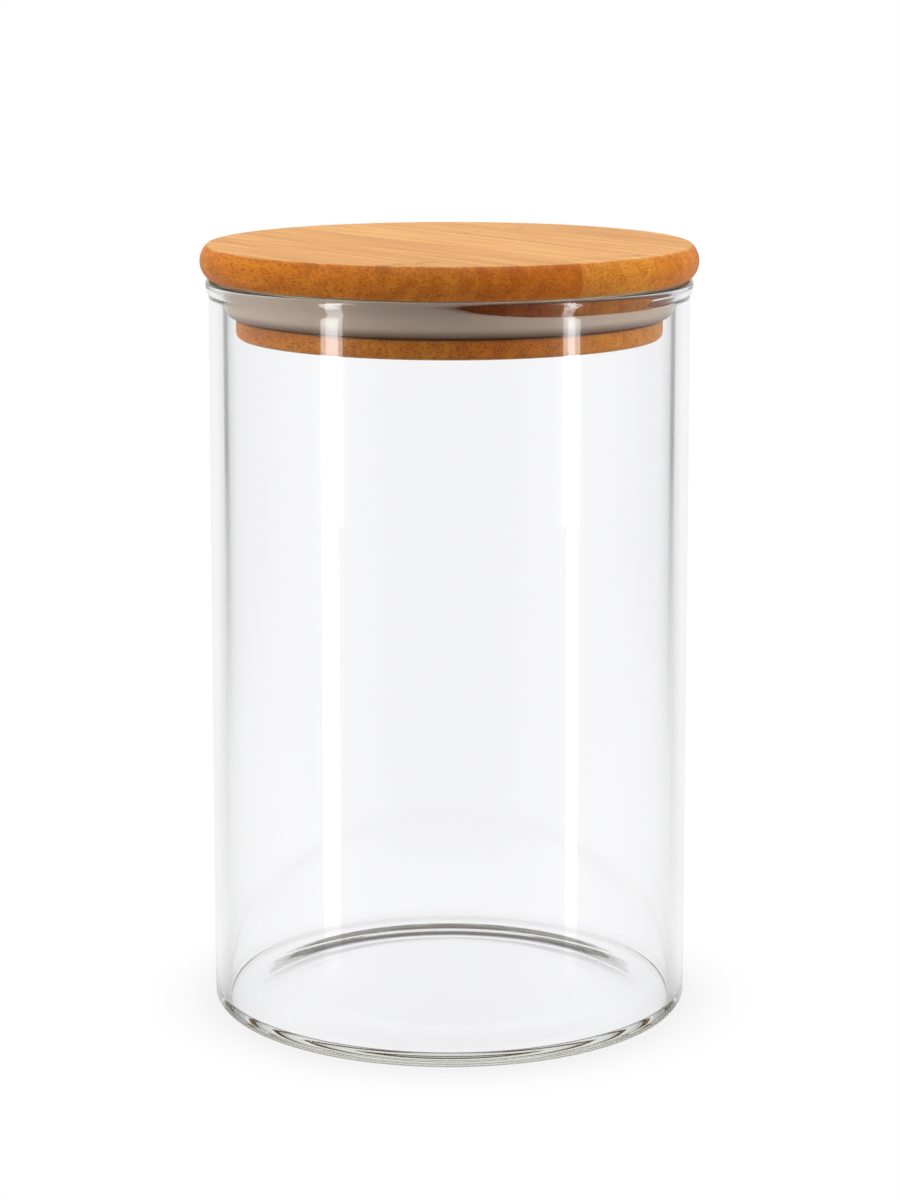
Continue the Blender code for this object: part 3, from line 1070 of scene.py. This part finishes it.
softbox("left", azimuth=-55.8, distance=0.642, core=0.100, halo=0.26)
softbox("right", azimuth=58.1, distance=0.642, core=0.073, halo=0.24)

# %% [markdown]
# ### Side lamps
#
# The wood and the seal are lit from both sides by a wide, weak lamp each. The glass
# mirrors none of them, because the softboxes are its only highlights.

# %% Side lamps
LAMP_SIZE = 0.4
LAMP_HEIGHT = 0.22
LAMP_DISTANCE = 0.7


def side_lamp(side, azimuth, power):
    """A wide lamp at the jar's side, with its power in watts."""
    data = bpy.data.lights.new(side + "_lamp", "AREA")
    data.shape = "SQUARE"
    data.size = LAMP_SIZE
    data.energy = power
    lamp = bpy.data.objects.new(side + "_lamp", data)
    bpy.context.scene.collection.objects.link(lamp)
    lamp.rotation_euler.x = math.radians(90)
    lamp.visible_camera = False
    lamp.visible_glossy = False
    lamp.visible_transmission = False
    put_round(lamp, azimuth, LAMP_DISTANCE, LAMP_HEIGHT)
    print(f"{lamp.name}: {power} W, {LAMP_DISTANCE} m from the jar")


side_lamp("left", azimuth=-92, power=2.3)
side_lamp("right", azimuth=92, power=2.6)

# %% [markdown]
# ### The air
#
# The world shows three things. The camera sees plain white beside the jar. Through the
# glass, the air is white up to about 29 degrees and grey from 38 degrees up, as a lit
# studio wall ends below a dark ceiling, and where it is mirrored it also takes the grey
# of the room. The light on things comes mostly from overhead, as from one large soft
# lamp, and what reaches the lid through the glass gets a little more, to make up for
# what the modelled wall turns away.

# %% World
WALL_END = 0.48
CEILING_START = 0.62
CEILING_GREY = "#505050"
OVERHEAD_LIGHT = 2.85
OVERHEAD_FALL = 3.0
LEVEL_LIGHT = 0.04
LIGHT_THROUGH_GLASS = 0.35

world = bpy.data.worlds.new("studio_air")
bpy.context.scene.world = world
world.use_nodes = True
tree = world.node_tree
aim = add(tree, "TexCoord").outputs["Generated"]
path = add(tree, "LightPath").outputs
upward = add(tree, "SeparateXYZ", {0: aim}).outputs["Z"]

steep = add(tree, "Math", {0: upward, 1: OVERHEAD_FALL}, operation="POWER")
sky = add(tree, "Math", {0: steep, 1: OVERHEAD_LIGHT, 2: LEVEL_LIGHT}, operation="MULTIPLY_ADD")
through = add(
    tree, "Math", {0: path["Is Transmission Ray"], 1: LIGHT_THROUGH_GLASS}, operation="MULTIPLY",
)
strength = add(tree, "Math", {0: sky, 1: through}, operation="ADD")
light = add(tree, "Background", {"Color": linear("#FFFFFF"), "Strength": strength})

room = add(
    tree, "ValToRGB", {0: upward},
    stops=[(WALL_END, linear("#FFFFFF")), (CEILING_START, linear(CEILING_GREY))],
)
level = add(tree, "Math", {0: room_level(tree, aim), 1: SEEN_FLOOR + FLOOR_LIFT}, operation="MULTIPLY")
glimpse = add(tree, "Background", {"Color": room, "Strength": level})

white = add(tree, "Background", {"Color": linear("#FFFFFF"), "Strength": 1.0})
indirect = add(tree, "MixShader", {0: seen_share(tree), 1: light, 2: glimpse})
air = add(tree, "MixShader", {0: path["Is Camera Ray"], 1: indirect, 2: white})
tree.links.new(air.outputs[0], tree.nodes["World Output"].inputs["Surface"])
print(f"{world.name}: {len(tree.nodes)} nodes")

# %% [markdown]
# ### Light paths
#
# Light that enters the glass floor is mirrored to and fro inside it, as in a light
# guide, before it leaves at the heel. Too few bounces would turn the heel black.

# %% Light paths
MOST_BOUNCES = 64

paths = bpy.context.scene.cycles
paths.max_bounces = MOST_BOUNCES
paths.glossy_bounces = MOST_BOUNCES
paths.transmission_bounces = MOST_BOUNCES
print(f"light paths: up to {MOST_BOUNCES} bounces")

# %% [markdown]
# ### Colour management
#
# The Standard view shows a colour as it is written, without a film's curve.

# %% Colour management
bpy.context.scene.view_settings.view_transform = "Standard"
print("view transform:", bpy.context.scene.view_settings.view_transform)
